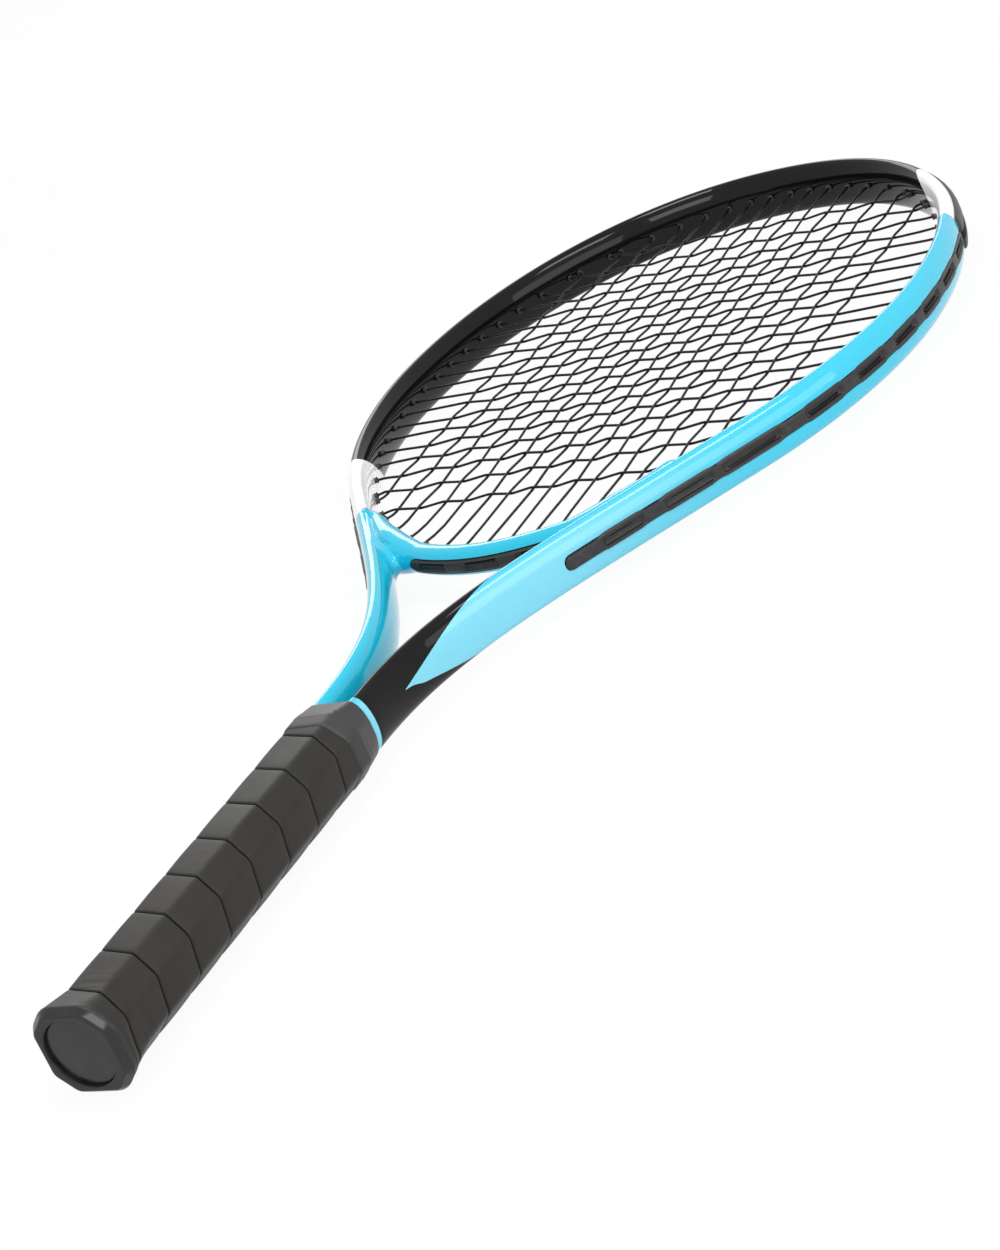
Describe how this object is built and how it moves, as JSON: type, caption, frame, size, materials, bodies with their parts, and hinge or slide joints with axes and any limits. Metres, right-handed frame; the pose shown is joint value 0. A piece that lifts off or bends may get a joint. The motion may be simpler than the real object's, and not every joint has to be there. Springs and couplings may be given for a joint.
{
  "type": "tennis racket",
  "caption": "Strung adult tennis racket: oval head on a twin shaft throat, octagonal wound grip and flared butt cap.",
  "frame": {"origin": "under the middle of the racket, on the level of the butt cap's lowest point", "axes": "+Y from the butt to the tip, +X across the head, +Z out of the string plane"},
  "size_m": [0.2796, 0.688, 0.0356],
  "materials": {
    "frame_lacquer": "gloss lacquer",
    "grommet_nylon": "satin",
    "string": "satin",
    "grip": "matte synthetic",
    "tape": "satin",
    "butt_rubber": "satin",
    "pallet_foam": "raw foam",
    "staple_steel": "bright wire"
  },
  "bodies": {
    "root": {"frame_hairpin": "frame_lacquer", "throat_bridge": "frame_lacquer", "bumper_guard": "grommet_nylon", "side_grommet_strip_left": "grommet_nylon", "side_grommet_strip_right": "grommet_nylon", "throat_grommet_strip": "grommet_nylon", "main_string": "string", "cross_string": "string", "grip_tape": "grip", "finishing_tape": "tape", "butt_cap": "butt_rubber", "butt_cap_badge": "butt_rubber", "pallet_front": "pallet_foam", "pallet_back": "pallet_foam", "butt_staple_front": "staple_steel", "butt_staple_back": "staple_steel"}
  },
  "joints": []
}
